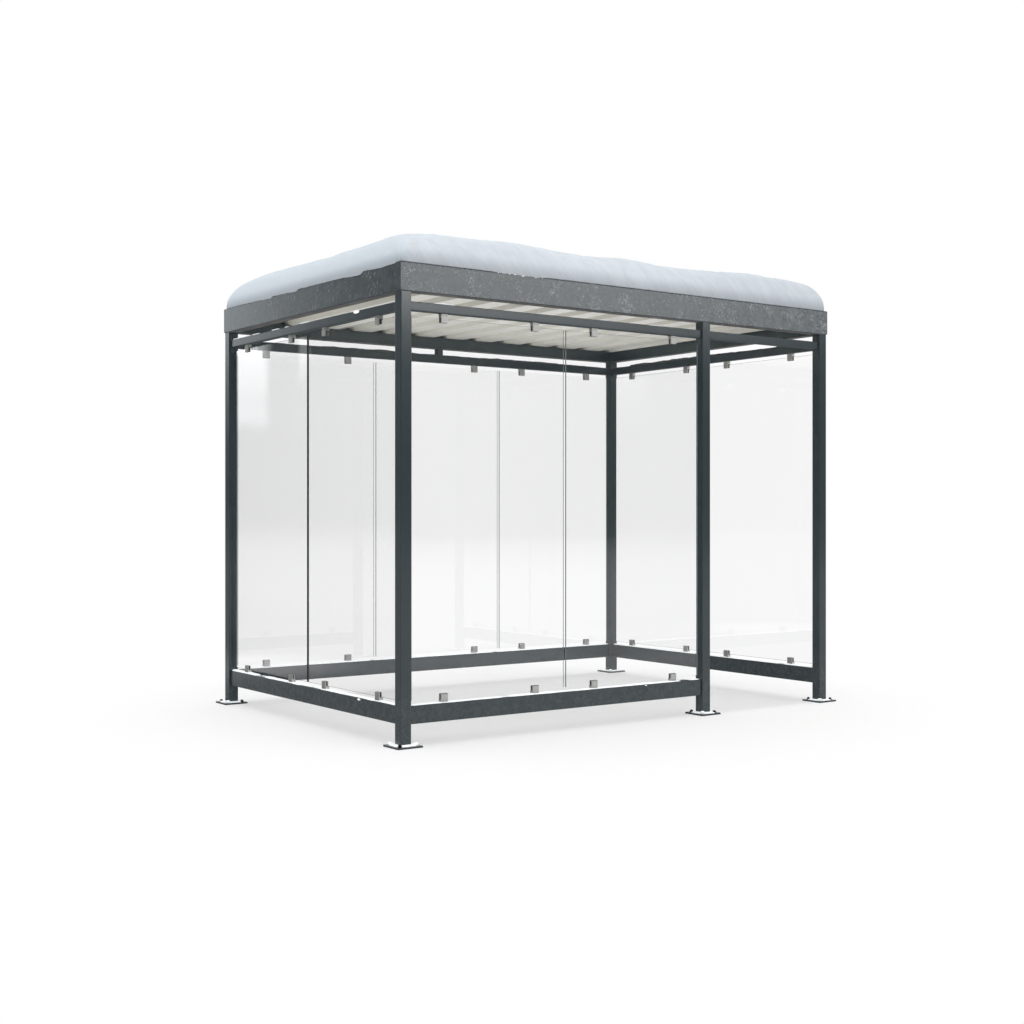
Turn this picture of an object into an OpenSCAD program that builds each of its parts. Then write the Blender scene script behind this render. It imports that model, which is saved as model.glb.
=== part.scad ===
// Open-fronted shelter. A frame of steel box section stands on five base plates.
// Frameless glass fills its four sides, apart from a doorway at the right of the
// front. A flat roof of ribbed sheet lies behind a folded fascia, under snow.
// X runs along the front to the right, Y to the back and Z up. The origin is on
// the floor, in the middle of the plan.

/* [Overall size] */
// Width over the corner posts
shelter_w = 3305; // [2600:5:4200]
// Depth over the corner posts
shelter_d = 2250; // [1800:5:3000]
// Height from the floor to the underside of the top rails
clear_h = 2345; // [1900:5:2800]
// Clear width of the doorway
door_w = 990; // [800:5:1300]

/* [Posts and base plates] */
// Side of the square posts
post_side = 65; // [50:5:80]
// Wall of the posts
post_wall = 3; // [2:0.5:5]
// Inner radius of the corners of the posts, rails and beams
tube_fold_r = 1; // [0.5:0.5:6]
// Side of the square base plates
plate_side = 156; // [130:2:200]
// Thickness of the base plates
plate_thick = 10; // [8:1:15]
// Distance between the anchor holes of a base plate, both ways
anchor_pitch = 100; // [90:2:110]
// Diameter of the anchor holes
anchor_hole_d = 14; // [9:0.5:18]

/* [Rails] */
// Depth of the rails, from outside to inside
rail_w = 40; // [30:5:50]
// Wall of the rails
rail_wall = 3; // [2:0.5:4]
// Height of the bottom rails
bottom_rail_h = 100; // [60:5:140]
// Height of the gap under the bottom rails
bottom_gap = 120; // [60:5:200]
// Height of the top rails
top_rail_h = 50; // [40:5:80]

/* [Roof frame] */
// Gap between the top rails and the roof beams
roof_gap = 50; // [30:5:100]
// Height of the roof beams
beam_h = 80; // [60:5:120]
// Depth of the roof beams, from outside to inside
beam_w = 65; // [40:5:80]
// Wall of the roof beams
beam_wall = 3; // [2:0.5:4]
// How far the roof beams stand out past the posts
beam_proud = 2; // [0:1:10]
// Width of the spacer over the back top rail
spacer_w = 50; // [40:5:80]

/* [Fascia] */
// Height of the fascia
fascia_h = 154; // [140:2:220]
// Height of the fascia's foot over the undersides of the roof beams
fascia_lift = 4; // [0:1:10]
// Thickness of the fascia
fascia_thick = 3; // [2:0.5:4]
// Width of the fascia's top lip, over all
lip_w = 38; // [25:1:45]
// Radius of the fold under the top lip, on the outside
fold_r = 6; // [4:0.5:8]

/* [Roof sheet] */
// Number of ribs in the roof sheet
rib_count = 13; // [9:2:17]
// Width of a rib at its foot
rib_foot_w = 120; // [80:5:150]
// Width of a rib at its crest
rib_crest_w = 84; // [40:2:100]
// Height of the ribs
rib_h = 35; // [20:1:45]
// Thickness of the roof sheet
sheet_thick = 1; // [0.7:0.1:1.5]
// Clearance between the roof sheet and the fascia
sheet_clear = 2; // [1:0.5:6]

/* [Glass] */
// Thickness of the glass
glass_thick = 10; // [6:1:12]
// Gap beside each pane
pane_gap = 17; // [6:1:24]
// Distance from the rails to the edges of the glass
edge_gap = 24; // [16:1:30]
// Play above the glass, in the top clamps
top_play = 2; // [0:0.5:4]
// Width of the ground arris along the edges of the glass
glass_arris = 1; // [0.5:0.5:2]

/* [Glass clamps] */
// Width of a clamp along the rail
clamp_w = 45; // [36:1:60]
// Height of a clamp
clamp_h = 50; // [44:1:64]
// Depth of a clamp, through the glass
clamp_d = 28; // [26:1:30]
// Chamfer round a clamp
clamp_chamfer = 2; // [1:0.5:3]
// Distance from the side of a pane to the middle of a clamp
clamp_inset = 207; // [120:1:260]
// Thickness of the gasket in a clamp
gasket_thick = 2; // [1:0.5:3]

/* [Snow] */
// Depth of the snow above the fascia
snow_h = 190; // [100:5:260]
// Width of the snow's rounded shoulders
shoulder_w = 165; // [120:5:300]
// Width over which two shoulders merge at a corner
hip_w = 140; // [60:5:240]
// Depth of the snow's outer edge, over the fascia
snow_edge_h = 18; // [10:1:40]
// Height of the waves on the snow
wave_h = 9; // [0:1:20]
// Length of the waves on the snow
wave_len = 900; // [600:50:1500]
// Gap between the snow and the steel under it
snow_clear = 0.3; // [0.1:0.1:1]

/* [Hidden] */

SIDES = ["front", "right", "back", "left"];
STEEL = "#454c50";
FASCIA_STEEL = "#5d6366";
ROOF_CREAM = "#cbc9c0";
GLASS_TINT = [0.90, 0.94, 0.93, 0.35];
CLAMP_STEEL = "#b4b4b2";
RUBBER = "#2a2a2b";
SNOW_WHITE = "#e6edf2";

// A cut runs this far past the faces that it opens
cut = 1;
// Facets of a full round; corners and holes are true arcs and bores
round_fn = 32;

half_w = shelter_w / 2;
half_d = shelter_d / 2;
post_reach = post_side / 2;
bottom_rail_top = bottom_gap + bottom_rail_h;
post_top = clear_h + top_rail_h + roof_gap;
beam_top = post_top + beam_h;
fascia_foot = post_top + fascia_lift;
fascia_top = fascia_foot + fascia_h;
fascia_proud = beam_proud + fascia_thick;
door_post_x = half_w - post_side - door_w - post_reach;

// Glass and clamps; the count of panes in a wall is as NODES names them
side_panes = 2;
back_panes = 3;
glass_bottom = bottom_rail_top + edge_gap;
glass_top = clear_h - edge_gap - top_play;
slot_w = glass_thick + 2 * gasket_thick;
slot_floor = edge_gap - gasket_thick;

// Roof sheet
sheet_w = shelter_w + 2 * (beam_proud - sheet_clear);
sheet_d = shelter_d + 2 * (beam_proud - sheet_clear);
rib_pitch = sheet_w / rib_count;
crest_top = beam_top + rib_h + sheet_thick;

// Snow: steps across the rest of a shoulder and across one wave, and the width of the
// slope from the fascia's lip down into the tray
shoulder_steps = 3;
wave_steps = 4;
tray_slope_w = 10;
snow_half_w = half_w + fascia_proud;
snow_half_d = half_d + fascia_proud;
lip_reach = lip_w + snow_clear;
slope_foot = lip_reach + tray_slope_w;
tray_depth = fascia_top - crest_top;

// Each wall is drawn as seen from outside: X runs along it to the right from its
// middle, Y runs inwards from the outer faces of its posts, and Z runs up.
function turn(side) = side == "front" ? 0 : side == "right" ? 90 : side == "back" ? 180 : 270;
function lies_along_x(side) = side == "front" || side == "back";
function half_length(side) = lies_along_x(side) ? half_w : half_d;
function half_across(side) = lies_along_x(side) ? half_d : half_w;

// The glazed bay of a wall, from its left post to its right post
function bay_left(side) = post_side - half_length(side);
function bay_right(side) = side == "front" ? door_post_x - post_reach : half_length(side) - post_side;
function panes(side) = side == "back" ? back_panes : side_panes;
function pane_w(side) =
    (bay_right(side) - bay_left(side) - (panes(side) + 1) * pane_gap) / panes(side);
function pane_left(side, i) = bay_left(side) + pane_gap + i * (pane_w(side) + pane_gap);
function clamp_spots(side) = [
    for (i = [0 : panes(side) - 1])
        each [pane_left(side, i) + clamp_inset, pane_left(side, i) + pane_w(side) - clamp_inset]
];

module on_wall(side) {
    rotate(turn(side))
        translate([0, -half_across(side), 0])
            children();
}

// Extrudes a profile drawn in Y and Z along X, from left to right
module along_x(left, right) {
    translate([left, 0, 0])
        rotate([90, 0, 90])
            linear_extrude(right - left)
                children();
}

// A rectangle with round corners, centred, made of true arcs
module round_rect(size, r) {
    square([size[0] - 2 * r, size[1]], center = true);
    square([size[0], size[1] - 2 * r], center = true);
    for (x = [-1, 1], y = [-1, 1])
        translate([x * (size[0] / 2 - r), y * (size[1] / 2 - r)])
            circle(r, $fn = round_fn);
}

// The section of a steel tube
module tube_section(size, wall) {
    difference() {
        round_rect(size, wall + tube_fold_r);
        round_rect([size[0] - 2 * wall, size[1] - 2 * wall], tube_fold_r);
    }
}

module post(x, y) {
    color(STEEL)
        translate([x, y, plate_thick])
            linear_extrude(post_top - plate_thick)
                tube_section([post_side, post_side], post_wall);
}

module corner_post(x_sign, y_sign) {
    post(x_sign * (half_w - post_reach), y_sign * (half_d - post_reach));
}

module base_plate(x, y) {
    color(STEEL)
        translate([x, y, 0])
            difference() {
                translate([-plate_side / 2, -plate_side / 2, 0])
                    cube([plate_side, plate_side, plate_thick]);
                for (i = [-1, 1], j = [-1, 1])
                    translate([i * anchor_pitch / 2, j * anchor_pitch / 2, -cut])
                        cylinder(d = anchor_hole_d, h = plate_thick + 2 * cut, $fn = round_fn);
            }
}

module corner_plate(x_sign, y_sign) {
    base_plate(x_sign * (half_w - post_reach), y_sign * (half_d - post_reach));
}

module rail(side, left, right, underside, height) {
    color(STEEL)
        on_wall(side)
            along_x(left, right)
                translate([post_reach, underside + height / 2])
                    tube_section([rail_w, height], rail_wall);
}

module bottom_rail(side) {
    rail(side, bay_left(side), bay_right(side), bottom_gap, bottom_rail_h);
}

module top_rail(side) {
    rail(side, bay_left(side), bay_right(side), clear_h, top_rail_h);
}

// The head of the doorway, between the door post and the right post
module top_rail_door() {
    rail("front", door_post_x + post_reach, half_w - post_side, clear_h, top_rail_h);
}

// Cuts a member of a wall to 45 degree mitres at the corners of the roof
module mitred(side, proud) {
    reach = 2 * post_side;
    intersection() {
        children();
        translate([0, 0, post_top - cut])
            linear_extrude(fascia_top - post_top + 2 * cut)
                polygon([
                    [-half_length(side) - proud, -proud],
                    [half_length(side) + proud, -proud],
                    [half_length(side) - reach, reach],
                    [-half_length(side) + reach, reach]
                ]);
    }
}

module roof_beam(side) {
    end = half_length(side) + beam_proud;
    color(STEEL)
        on_wall(side)
            mitred(side, beam_proud)
                along_x(-end, end)
                    translate([beam_w / 2 - beam_proud, post_top + beam_h / 2])
                        tube_section([beam_w, beam_h], beam_wall);
}

// The fascia's section: a face, a fold and a top lip, with its outer foot at the origin
module fascia_section() {
    square([fascia_thick, fascia_h - fold_r]);
    translate([fold_r, fascia_h - fascia_thick])
        square([lip_w - fold_r, fascia_thick]);
    translate([fold_r, fascia_h - fold_r])
        intersection() {
            difference() {
                circle(fold_r, $fn = round_fn);
                circle(fold_r - fascia_thick, $fn = round_fn);
            }
            translate([-fold_r, 0])
                square(fold_r);
        }
}

module fascia(side) {
    end = half_length(side) + fascia_proud;
    color(FASCIA_STEEL)
        on_wall(side)
            mitred(side, fascia_proud)
                along_x(-end, end)
                    translate([-fascia_proud, fascia_foot])
                        fascia_section();
}

// The outline of one rib, from the middle of the pan on its left; z lifts it by the thickness
function rib_line(i, lift) = [
    for (p = [[-rib_foot_w, 0], [-rib_crest_w, rib_h], [rib_crest_w, rib_h], [rib_foot_w, 0]])
        [(i - (rib_count - 1) / 2) * rib_pitch + p[0] / 2, p[1] + lift]
];

function sheet_line(lift) = [
    [-sheet_w / 2, lift],
    for (i = [0 : rib_count - 1]) each rib_line(i, lift),
    [sheet_w / 2, lift]
];

function reversed(list) = [for (i = [len(list) - 1 : -1 : 0]) list[i]];

module roof_sheet() {
    color(ROOF_CREAM)
        translate([0, sheet_d / 2, beam_top])
            rotate([90, 0, 0])
                linear_extrude(sheet_d)
                    polygon(concat(sheet_line(0), reversed(sheet_line(sheet_thick))));
}

module roof_spacer_back() {
    color(STEEL)
        on_wall("back")
            translate([0, post_reach, clear_h + top_rail_h])
                linear_extrude(roof_gap)
                    tube_section([spacer_w, rail_w], rail_wall);
}

// A rectangle with chamfered corners, centred
module chamfer_rect(width, height, c) {
    x = width / 2;
    y = height / 2;
    polygon([
        [c - x, -y], [x - c, -y], [x, c - y], [x, y - c],
        [x - c, y], [c - x, y], [-x, y - c], [-x, c - y]
    ]);
}

module glass_pane(side, i) {
    width = pane_w(side);
    height = glass_top - glass_bottom;
    color(GLASS_TINT)
        on_wall(side)
            translate([pane_left(side, i) + width / 2, post_reach, glass_bottom])
                intersection() {
                    linear_extrude(height)
                        chamfer_rect(width, glass_thick, glass_arris);
                    along_x(-width / 2, width / 2)
                        translate([0, height / 2])
                            chamfer_rect(glass_thick, height, glass_arris);
                }
}

// Places its children on both rails of a wall at every clamp, with Z pointing to the glass
module at_clamps(side) {
    on_wall(side)
        for (x = clamp_spots(side)) {
            translate([x, post_reach, bottom_rail_top])
                children();
            translate([x, post_reach, clear_h])
                rotate([180, 0, 0])
                    children();
        }
}

// A block with a slot for the edge of the glass and its gasket
module clamp() {
    difference() {
        intersection() {
            linear_extrude(clamp_h)
                chamfer_rect(clamp_w, clamp_d, clamp_chamfer);
            along_x(-clamp_w / 2, clamp_w / 2)
                translate([0, clamp_h / 2])
                    chamfer_rect(clamp_d, clamp_h, clamp_chamfer);
        }
        translate([-clamp_w / 2 - cut, -slot_w / 2, slot_floor])
            cube([clamp_w + 2 * cut, slot_w, clamp_h]);
    }
}

module clamps(side) {
    color(CLAMP_STEEL)
        at_clamps(side)
            clamp();
}

// A U-shaped strip that lines the slot of a clamp
module gasket() {
    difference() {
        translate([-clamp_w / 2, -slot_w / 2, slot_floor])
            cube([clamp_w, slot_w, clamp_h - slot_floor]);
        translate([-clamp_w / 2 - cut, -glass_thick / 2, edge_gap])
            cube([clamp_w + 2 * cut, glass_thick, clamp_h]);
    }
}

module glass_gaskets() {
    color(RUBBER)
        for (side = SIDES)
            at_clamps(side)
                gasket();
}

// Grid lines across the snow, as distances from its edge: over the lip, down the slope
// into the tray, and across the rest of the shoulder
function insets() = concat(
    [0, lip_reach / 3, lip_reach],
    [for (i = [0 : shoulder_steps]) slope_foot + i * (shoulder_w - slope_foot) / shoulder_steps]
);
function middle_lines(half) =
    let (flat = 2 * (half - shoulder_w), steps = ceil(flat / wave_len * wave_steps))
    [for (i = [1 : steps - 1]) shoulder_w - half + i * flat / steps];
function snow_lines(half) = concat(
    [for (inset = insets()) inset - half],
    middle_lines(half),
    [for (inset = reversed(insets())) half - inset]
);

// Height of the snow over its foot: a quarter round at every edge, and gentle waves.
// The shoulders run into each other in a round hip at each corner.
function hip_inset(a, b) = min(a, b) - pow(max(hip_w - abs(a - b), 0), 2) / (4 * hip_w);
function shoulder(inset) =
    inset <= 0 ? 0 : inset >= shoulder_w ? 1 : sqrt(1 - pow(1 - inset / shoulder_w, 2));
function wave(x, y) = sin(360 * x / wave_len) * cos(360 * (y + x / 2) / wave_len);
function snow_z(x, y) =
    let (rise = shoulder(hip_inset(snow_half_w - abs(x), snow_half_d - abs(y))))
    snow_edge_h + (snow_h - snow_edge_h) * rise + wave_h * wave(x, y) * rise;

// The underside of the snow: flat over the fascia's lip, then down into the tray
function foot_z(x, y) =
    min(snow_half_w - abs(x), snow_half_d - abs(y)) > lip_reach + snow_clear ? -tray_depth : 0;

// Two triangles for each cell of a grid of points, nx to a row, facing up
function cell_faces(nx, ny) = [
    for (j = [0 : ny - 2], i = [0 : nx - 2])
        let (a = j * nx + i) each [[a, a + nx, a + 1], [a + 1, a + nx, a + nx + 1]]
];

// A grid of heights over a grid of feet, closed by a wall round the rim
module roof_snow() {
    xs = snow_lines(snow_half_w);
    ys = snow_lines(snow_half_d);
    nx = len(xs);
    ny = len(ys);
    under = nx * ny;
    rim = concat(
        [for (i = [0 : nx - 2]) i],
        [for (j = [1 : ny - 1]) j * nx - 1],
        [for (i = [nx - 1 : -1 : 1]) (ny - 1) * nx + i],
        [for (j = [ny - 1 : -1 : 0]) j * nx]
    );
    top = [for (y = ys, x = xs) [x, y, snow_z(x, y)]];
    foot = [for (y = ys, x = xs) [x, y, foot_z(x, y)]];
    color(SNOW_WHITE)
        translate([0, 0, fascia_top + snow_clear])
            polyhedron(concat(top, foot), concat(
                cell_faces(nx, ny),
                [for (f = cell_faces(nx, ny)) reversed(f) + under * [1, 1, 1]],
                [for (k = [1 : len(rim) - 1]) [rim[k - 1], rim[k], rim[k] + under, rim[k - 1] + under]]
            ));
}

corner_post(-1, -1);  // post_front_left
post(door_post_x, post_reach - half_d);  // post_door
corner_post(1, -1);  // post_front_right
corner_post(-1, 1);  // post_back_left
corner_post(1, 1);  // post_back_right
corner_plate(-1, -1);  // base_plate_front_left
base_plate(door_post_x, post_reach - half_d);  // base_plate_door
corner_plate(1, -1);  // base_plate_front_right
corner_plate(-1, 1);  // base_plate_back_left
corner_plate(1, 1);  // base_plate_back_right
bottom_rail("front");  // bottom_rail_front
bottom_rail("right");  // bottom_rail_right
bottom_rail("back");  // bottom_rail_back
bottom_rail("left");  // bottom_rail_left
top_rail("front");  // top_rail_front
top_rail_door();
top_rail("right");  // top_rail_right
top_rail("back");  // top_rail_back
top_rail("left");  // top_rail_left
roof_spacer_back();
roof_beam("front");  // roof_beam_front
roof_beam("right");  // roof_beam_right
roof_beam("back");  // roof_beam_back
roof_beam("left");  // roof_beam_left
fascia("front");  // fascia_front
fascia("right");  // fascia_right
fascia("back");  // fascia_back
fascia("left");  // fascia_left
roof_sheet();
glass_pane("front", 0);  // glass_front_1
glass_pane("front", 1);  // glass_front_2
glass_pane("right", 0);  // glass_right_1
glass_pane("right", 1);  // glass_right_2
glass_pane("back", 0);  // glass_back_1
glass_pane("back", 1);  // glass_back_2
glass_pane("back", 2);  // glass_back_3
glass_pane("left", 0);  // glass_left_1
glass_pane("left", 1);  // glass_left_2
clamps("front");  // clamps_front
clamps("right");  // clamps_right
clamps("back");  // clamps_back
clamps("left");  // clamps_left
glass_gaskets();
roof_snow();
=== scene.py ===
# Looks of a glazed smoking shelter under snow: materials, snow, small fasteners, light and camera.
# Metres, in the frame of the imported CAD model: X to the right along the front, Y to the back, Z up.
from math import copysign, cos, exp, hypot, pi, radians, sin, sqrt, tan

import bpy  # noqa: E402
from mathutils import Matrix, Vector, noise  # noqa: E402

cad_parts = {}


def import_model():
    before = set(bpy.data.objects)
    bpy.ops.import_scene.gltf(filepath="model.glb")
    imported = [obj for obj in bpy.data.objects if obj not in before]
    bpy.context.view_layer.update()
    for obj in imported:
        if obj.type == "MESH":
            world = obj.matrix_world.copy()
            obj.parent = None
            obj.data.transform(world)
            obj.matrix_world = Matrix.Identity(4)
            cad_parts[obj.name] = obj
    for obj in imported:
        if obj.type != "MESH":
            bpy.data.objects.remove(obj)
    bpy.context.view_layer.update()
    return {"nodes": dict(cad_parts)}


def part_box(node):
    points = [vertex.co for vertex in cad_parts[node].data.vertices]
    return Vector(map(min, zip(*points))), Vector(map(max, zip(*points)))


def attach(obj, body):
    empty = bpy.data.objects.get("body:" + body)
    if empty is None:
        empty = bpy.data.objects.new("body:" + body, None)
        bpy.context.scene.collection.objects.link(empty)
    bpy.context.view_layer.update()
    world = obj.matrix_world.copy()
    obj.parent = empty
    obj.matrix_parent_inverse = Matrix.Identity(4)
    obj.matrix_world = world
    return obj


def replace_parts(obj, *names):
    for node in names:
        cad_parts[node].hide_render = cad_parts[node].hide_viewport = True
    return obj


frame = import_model()
nodes = frame["nodes"]
scene = bpy.context.scene

MM = 0.001
# Gap kept between a snow piece and the steel that it lies on
REST_GAP = 0.4 * MM
# Side of the square posts, from the door post's own box
POST_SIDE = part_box("post_door")[1].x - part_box("post_door")[0].x
# Heights of the roof sheet's underside, of its ribs' tops, and of the fascias' tops under the snow
SHEET_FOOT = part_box("roof_sheet")[0].z
SHEET_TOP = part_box("roof_sheet")[1].z
SNOW_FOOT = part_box("fascia_front")[1].z


# ------ shader trees


class Shader:
    """A node tree and short ways to add to it. Any input may be a socket or a plain value."""

    def __init__(self, owner, output, coords="Object"):
        owner.use_nodes = True
        self.owner = owner
        self.tree = owner.node_tree
        self.tree.nodes.clear()
        self.output = self.node(output)
        self.where = self.node("TexCoord").outputs[coords]

    def put(self, socket, value):
        if isinstance(value, bpy.types.NodeSocket):
            self.tree.links.new(value, socket)
        elif isinstance(value, (tuple, list)) and len(value) == 3 and socket.type == "RGBA":
            socket.default_value = (*value, 1)
        else:
            socket.default_value = value

    def node(self, kind, inputs=None, **settings):
        made = self.tree.nodes.new("ShaderNode" + kind)
        for key, value in settings.items():
            setattr(made, key, value)
        for key, value in (inputs or {}).items():
            self.put(made.inputs[key], value)
        return made

    def axes(self, vector=None):
        return self.node("SeparateXYZ", {0: vector or self.where}).outputs

    def turned(self, normal="True Normal"):
        """The axes of the surface's normal, which say which way it faces."""
        return self.axes(self.node("NewGeometry").outputs[normal])

    def scaled(self, scale, vector=None):
        return self.node("Mapping", {"Vector": vector or self.where, "Scale": scale}).outputs[0]

    def noise(self, scale, detail=3, rough=0.55, warp=0.0, at=None):
        inputs = {"Scale": scale, "Detail": detail, "Roughness": rough, "Distortion": warp}
        return self.node("TexNoise", {"Vector": at or self.where, **inputs}).outputs[0]

    def calc(self, operation, first, *others):
        """Joins the values two by two, from the left."""
        for other in others or (0.0,):
            first = self.node("Math", {0: first, 1: other}, operation=operation).outputs[0]
        return first

    def times(self, *values):
        return self.calc("MULTIPLY", *values)

    def plus(self, *values):
        return self.calc("ADD", *values)

    def most(self, *values):
        return self.calc("MAXIMUM", *values)

    def magnitude(self, value):
        return self.calc("ABSOLUTE", value)

    def span(self, value, low, high, to_low=0.0, to_high=1.0, kind="LINEAR"):
        """Maps low to high onto to_low to to_high, clamped."""
        inputs = {"Value": value, "From Min": low, "From Max": high, "To Min": to_low, "To Max": to_high}
        return self.node("MapRange", inputs, interpolation_type=kind).outputs[0]

    def fade(self, *limits):
        """A span with soft ends."""
        return self.span(*limits, kind="SMOOTHSTEP")

    def band(self, value, rise, fall):
        """1 between two limits, which fade over the ranges rise and fall, and 0 outside them."""
        return self.times(self.span(value, *rise), self.span(value, *fall))

    def mix(self, share, a, b):
        made = self.node("Mix", data_type="RGBA")
        self.put(made.inputs["Factor"], share)
        for index, value in ((6, a), (7, b)):
            self.put(made.inputs[index], value)
        return made.outputs[2]

    def bump(self, height, strength, distance, normal=None):
        inputs = {"Height": height, "Strength": strength, "Distance": distance}
        if normal is not None:
            inputs["Normal"] = normal
        return self.node("Bump", inputs).outputs[0]

    def edges(self, radius):
        """A rounded normal at sharp edges, and how far the surface is from flat there, 0 to 1."""
        bevel = self.node("Bevel", {"Radius": radius}, samples=4)
        true = self.node("NewGeometry").outputs["Normal"]
        dot = self.node("VectorMath", {0: bevel.outputs[0], 1: true}, operation="DOT_PRODUCT")
        return bevel.outputs[0], self.span(dot.outputs["Value"], 0.995, 0.8)

    def principled(self, colour, rough, normal=None, **others):
        inputs = {"Base Color": colour, "Roughness": rough}
        if normal is not None:
            inputs["Normal"] = normal
        inputs |= {key.replace("_", " "): value for key, value in others.items()}
        return self.node("BsdfPrincipled", inputs).outputs[0]

    def matt(self, shade):
        return self.node("BsdfDiffuse", {"Color": (shade, shade, shade)}).outputs[0]

    def see_through(self, colour):
        return self.node("BsdfTransparent", {"Color": colour}).outputs[0]

    def light(self, strength, colour=(1, 1, 1)):
        """Plain light of that strength, where 1 is white: an emission, or a background in a world."""
        kind = "Background" if "World" in self.output.bl_idname else "Emission"
        return self.node(kind, {"Color": colour, "Strength": strength}).outputs[0]

    def blend(self, share, a, b):
        return self.node("MixShader", {0: share, 1: a, 2: b}).outputs[0]

    def both(self, a, b):
        return self.node("AddShader", {0: a, 1: b}).outputs[0]

    def seen_directly(self):
        """1 for what the camera sees, also behind glass, and 0 for what glass or steel mirrors."""
        path = self.node("LightPath").outputs
        unmirrored = self.calc("LESS_THAN", path["Glossy Depth"], 0.5)
        return self.most(path["Is Camera Ray"], self.times(path["Is Transmission Ray"], unmirrored))

    def mirrored(self):
        return self.node("LightPath").outputs["Is Glossy Ray"]

    def finished(self, shader):
        """Makes this shader the surface, and gives back the material or world."""
        self.tree.links.new(shader, self.output.inputs["Surface"])
        return self.owner


def material(name):
    return Shader(bpy.data.materials.new(name), "OutputMaterial")


def srgb(red, green, blue):
    """A colour as it looks on screen, 0 to 255, as linear light."""

    def linear(c):
        c /= 255
        return c / 12.92 if c <= 0.04045 else ((c + 0.055) / 1.055) ** 2.4

    return (linear(red), linear(green), linear(blue))


def tinted(colour, factor):
    return tuple(min(1, c * factor) for c in colour)


# ------ materials

FRAME_COLOUR = (0.0395, 0.0545, 0.0615)
FASCIA_COLOUR = (0.045, 0.060, 0.067)
FROST_COLOUR = srgb(176, 181, 183)
DUST_COLOUR = srgb(122, 120, 118)
# The frame is frosted near the ground: heights at which the frost ends and is full
FRAME_FROST = (0.40, 0.16)
# The fascias have painted shade along their tops, under the snow's rim: heights at which that band ends and
# is full
TOP_SHADE_BAND = (SNOW_FOOT - 9 * MM, SNOW_FOOT - 5 * MM)
# The roof sheet's painted shade deepens up into the ribs' hollows, between these heights, and the sheet
# darkens from the back to the front, between these places along Y, where that painted shade is deepest too
HOLLOW_SHADE = (SHEET_FOOT + 3 * MM, SHEET_FOOT + 24 * MM)
FRONT_DARKENING = (0.6, -0.8)


def fascia_frost(s, frontal):
    """How frosted a fascia is: crisp flecks and a pale haze on its front and back, upright wisps on its
    sides.
    The haze is partly frost and partly painted light, which makes the front and back paler than the sides.
    """
    crowding = s.span(s.noise(7, 3, 0.6), 0.3, 0.7, -0.08, 0.06)

    def marks(at, scale, detail, rough, warp, thin, thick, most):
        """Marks that fade in where this noise goes from thin to thick, more of them in a crowd."""
        grain = s.plus(s.noise(scale, detail, rough, warp, at), crowding)
        return s.span(grain, thin, thick, 0.0, most)

    taller = s.scaled((1, 1, 0.85))
    # frost haze on the front and back, partly painted light that makes them paler than the sides
    frost_haze_and_light = s.span(s.noise(20, 4, 0.65, 0.4), 0.35, 0.70, 0.11, 0.31)
    flecks = marks(taller, 52, 3, 0.62, 0.8, 0.56, 0.66, 0.66)
    specks = marks(taller, 105, 2, 0.6, 0.0, 0.60, 0.68, 1.0)
    wisps = marks(s.scaled((1, 1.3, 0.8)), 52, 4, 0.62, 1.2, 0.54, 0.72, 0.32)
    clouds = s.span(s.noise(17, 4, 0.6, 0.6), 0.35, 0.7, 0.0, 0.07)
    kinds = {"Factor": frontal, "A": s.most(clouds, wisps), "B": s.most(frost_haze_and_light, flecks, specks)}
    return s.node("Mix", kinds).outputs[0]


def frame_frost(s):
    """How frosted the frame is near the ground: a faint film with flecks."""
    film = s.span(s.noise(30, 5, 0.7, 0.5), 0.42, 0.72, 0.0, 0.08)
    flecks = s.span(s.noise(95, 3, 0.6, 1.0), 0.56, 0.70, 0.0, 0.11)
    return s.most(film, flecks)


def coated_steel(name, colour, on_fascia=False, dusty_foot=False):
    """Powder-coated steel: orange peel, faint blotches, rubbed edges and frost.

    A fascia is frosted all over, paler on its front and back partly by painted light, and has painted
    shade along its top, under the snow; the rest of the frame is frosted only near the ground. Every
    underside is dulled by dust, most where dusty_foot is set."""
    s = material(name)
    height = s.axes()["Z"]
    turned = s.turned()
    frontal = s.span(s.magnitude(turned["Y"]), 0.4, 0.6)
    blotch = s.noise(5, 4, 0.55, 0.3)
    base = s.mix(s.span(blotch, 0.35, 0.68), tinted(colour, 0.95), tinted(colour, 1.06))
    film = s.span(s.noise(70, 4, 0.65), 0.3, 0.7, 0.16, 0.21)
    grains = s.noise(300, 2, 0.6)
    if on_fascia:
        frost = s.most(fascia_frost(s, frontal), s.span(grains, 0.70, 0.78, 0.0, 0.5))
        # painted shade along the top of the fascia, under the snow's rim
        top_shade = s.fade(height, *TOP_SHADE_BAND, 0.0, 0.6)
        base = s.mix(top_shade, s.mix(frost, base, FROST_COLOUR), tinted(colour, 0.3))
    else:
        frost = s.most(frame_frost(s), s.span(grains, 0.70, 0.78, 0.0, 0.25))
        frost = s.times(frost, s.fade(height, *FRAME_FROST, 0.0, 1.0))
        base = s.mix(frost, base, FROST_COLOUR)
        # fronts and backs are a little glossier
        film = s.calc("SUBTRACT", film, s.times(frontal, 0.042))
    underside = s.span(turned["Z"], -0.5, -0.9)
    dust = s.span(s.noise(30, 4, 0.6), 0.3, 0.7, 0.8, 1.0)
    base = s.mix(s.times(dust, underside, 0.75 if dusty_foot else 0.15), base, DUST_COLOUR)
    round_normal, edge = s.edges(1.8 * MM)
    rubbed = s.times(edge, s.span(s.noise(45, 3), 0.4, 0.65, 0.0, 0.3))
    base = s.mix(rubbed, base, tinted(colour, 1.9))
    rough = s.plus(film, s.times(s.most(frost, underside), 0.5))
    gloss = s.span(underside, 0.0, 1.0, 0.5, 0.15)
    peel = s.bump(s.noise(620, 2, 0.5), 0.05, 0.2 * MM, round_normal)
    crust = s.bump(frost, 0.15, 0.6 * MM, peel)
    return s.finished(s.principled(base, rough, crust, IOR=1.5, Specular_IOR_Level=gloss))


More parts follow.
